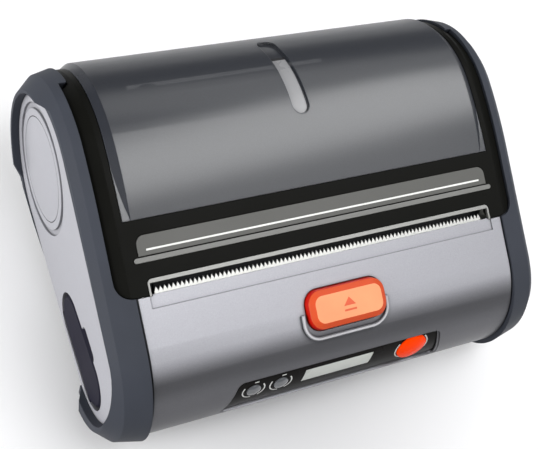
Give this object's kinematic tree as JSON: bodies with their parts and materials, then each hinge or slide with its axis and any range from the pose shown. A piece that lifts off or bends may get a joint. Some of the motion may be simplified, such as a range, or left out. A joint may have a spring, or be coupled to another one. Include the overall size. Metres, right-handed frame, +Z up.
{
  "type": "portable receipt printer",
  "caption": "Wedge-shaped portable receipt printer with rubber side bumpers, a smoked window cover on a rear hinge, a tear slot, an open button and a key panel.",
  "frame": {"origin": "middle of the footprint, on the surface that the printer stands on", "axes": "+X to the printer's right, +Y to its back, +Z up; the tear slot and keys face -Y"},
  "size_m": [0.1528, 0.1161, 0.066],
  "materials": {
    "silver_shell": "metallic paint",
    "dark_bumper": "fine matte grain",
    "black_cover": "satin",
    "smoked_window": "clear gloss",
    "grey_label": "satin",
    "grey_trim": "satin",
    "bright_strip": "bright",
    "blade_steel": "bright",
    "sheet_steel": "plated",
    "shaft_steel": "ground",
    "heatsink": "satin",
    "head_ceramic": "glazed",
    "orange_button": "satin",
    "red_button": "gloss",
    "grey_key": "gloss",
    "panel_black": "gloss",
    "display": "satin",
    "circuit_board": "lacquer",
    "gear_plastic": "satin",
    "platen_rubber": "ground",
    "inner_black": "satin",
    "guide_plastic": "satin",
    "tab_orange": "satin",
    "battery_case": "fine grain",
    "motor_case": "plated",
    "spring_steel": "bright"
  },
  "bodies": {
    "housing": {"lower_housing": "silver_shell", "front_housing": "silver_shell", "right_bumper": "dark_bumper", "left_bumper": "dark_bumper", "right_side_plate": "silver_shell", "left_side_plate": "silver_shell", "right_round_cap": "silver_shell", "left_round_cap": "silver_shell", "control_panel": "panel_black", "display_window": "display", "display_module": "inner_black", "panel_board": "circuit_board", "main_board": "circuit_board", "port_board": "circuit_board", "data_socket": "sheet_steel", "charging_socket": "inner_black", "battery_contacts": "inner_black", "print_frame": "sheet_steel", "head_rod": "shaft_steel", "head_springs": "spring_steel", "tear_bar": "blade_steel", "stepper_motor": "motor_case", "paper_chute": "inner_black", "paper_sensor": "inner_black", "hinge_pin": "shaft_steel", "frame_screws": "shaft_steel"},
    "print_head": {"thermal_head": "head_ceramic", "head_heatsink": "heatsink"},
    "latch": {"latch_shaft": "shaft_steel", "latch_hooks": "sheet_steel", "latch_arm": "inner_black", "latch_spring": "spring_steel"},
    "open_key": {"open_button": "orange_button"},
    "mode_key": {"mode_button": "grey_key"},
    "feed_key": {"feed_button": "grey_key"},
    "power_key": {"power_button": "red_button"},
    "cover": {"cover_frame": "black_cover", "window": "smoked_window", "label_panel": "grey_label", "trim_bar": "grey_trim", "edge_strip": "bright_strip", "cover_liner": "inner_black", "cover_screws": "shaft_steel", "platen_bushings": "inner_black"},
    "platen": {"platen_shaft": "shaft_steel", "platen_roller": "platen_rubber", "platen_gear": "gear_plastic"},
    "idler": {"idler_gear": "gear_plastic"},
    "motor_rotor": {"motor_pinion": "gear_plastic"},
    "guide_left": {"left_roll_guide": "guide_plastic", "left_guide_tab": "tab_orange"},
    "guide_right": {"right_roll_guide": "guide_plastic", "right_guide_tab": "tab_orange"},
    "hub_left": {"left_roll_hub": "inner_black"},
    "hub_right": {"right_roll_hub": "inner_black"},
    "pinion": {"guide_pinion": "gear_plastic"},
    "flap": {"port_flap": "dark_bumper"},
    "battery": {"battery_pack": "battery_case"},
    "battery_catch": {"battery_latch": "inner_black"}
  },
  "joints": [
    {"name": "cover_open", "type": "hinge", "parent": "housing", "child": "cover", "pos_m": [0, 0.05277, 0.02597], "axis": [-1, 0, 0], "range_deg": [0, 95]},
    {"name": "platen_spin", "type": "hinge", "parent": "cover", "child": "platen", "pos_m": [0, -0.017, 0.042], "axis": [1, 0, 0], "continuous": true},
    {"name": "idler_spin", "type": "hinge", "parent": "housing", "child": "idler", "pos_m": [0, -0.01997, 0.0291], "axis": [1, 0, 0], "continuous": true},
    {"name": "motor_spin", "type": "hinge", "parent": "housing", "child": "motor_rotor", "pos_m": [0, -0.02331, 0.01879], "axis": [1, 0, 0], "continuous": true},
    {"name": "head_rock", "type": "hinge", "parent": "housing", "child": "print_head", "pos_m": [0, -0.0245, 0.0324], "axis": [1, 0, 0], "range_deg": [0, 1.5], "stiffness_Nm_per_rad": 2, "springref_deg": -2.86},
    {"name": "latch_turn", "type": "hinge", "parent": "housing", "child": "latch", "pos_m": [0, -0.0286, 0.0316], "axis": [1, 0, 0], "range_deg": [0, 6.88], "stiffness_Nm_per_rad": 0.05, "springref_deg": -17.19},
    {"name": "open_press", "type": "slide", "parent": "housing", "child": "open_key", "axis": [0, 0.3502, -0.9367], "range_m": [0, 0.002]},
    {"name": "mode_press", "type": "slide", "parent": "housing", "child": "mode_key", "axis": [0, 0.9483, -0.3173], "range_m": [0, 0.0005], "stiffness_N_per_m": 800, "springref_m": -0.0005},
    {"name": "feed_press", "type": "slide", "parent": "housing", "child": "feed_key", "axis": [0, 0.9483, -0.3173], "range_m": [0, 0.0005], "stiffness_N_per_m": 800, "springref_m": -0.0005},
    {"name": "power_press", "type": "slide", "parent": "housing", "child": "power_key", "axis": [0, 0.9483, -0.3173], "range_m": [0, 0.0005], "stiffness_N_per_m": 800, "springref_m": -0.0005},
    {"name": "guide_left_slide", "type": "slide", "parent": "housing", "child": "guide_left", "axis": [1, 0, 0], "range_m": [-0.02, 0.007]},
    {"name": "guide_right_slide", "type": "slide", "parent": "housing", "child": "guide_right", "axis": [1, 0, 0], "range_m": [-0.007, 0.02]},
    {"name": "pinion_spin", "type": "hinge", "parent": "housing", "child": "pinion", "pos_m": [0, 0.0025, 0.0046], "axis": [0, 0, 1], "range_deg": [-390, 150]},
    {"name": "hub_left_spin", "type": "hinge", "parent": "guide_left", "child": "hub_left", "pos_m": [-0.036, 0.0249, 0.0324], "axis": [1, 0, 0], "continuous": true},
    {"name": "hub_right_spin", "type": "hinge", "parent": "guide_right", "child": "hub_right", "pos_m": [0.036, 0.0249, 0.0324], "axis": [1, 0, 0], "continuous": true},
    {"name": "flap_open", "type": "hinge", "parent": "housing", "child": "flap", "pos_m": [-0.0734, -0.025, 0.0076], "axis": [0, -1, 0], "range_deg": [0, 95]},
    {"name": "battery_out", "type": "slide", "parent": "housing", "child": "battery", "axis": [0, 0, -1], "range_m": [0, 0.024]},
    {"name": "battery_catch_slide", "type": "slide", "parent": "housing", "child": "battery_catch", "axis": [0, 1, 0], "range_m": [0, 0.0025], "stiffness_N_per_m": 150, "springref_m": -0.003}
  ],
  "couplings": [
    {"joint": "idler_spin", "follows": "platen_spin", "ratio": -0.83333},
    {"joint": "motor_spin", "follows": "platen_spin", "ratio": 1.6667},
    {"joint": "guide_right_slide", "follows": "guide_left_slide", "ratio": -1},
    {"joint": "pinion_spin", "follows": "guide_left_slide", "rad_per_m": 333.33},
    {"joint": "latch_turn", "follows": "open_press", "rad_per_m": 59.996}
  ]
}
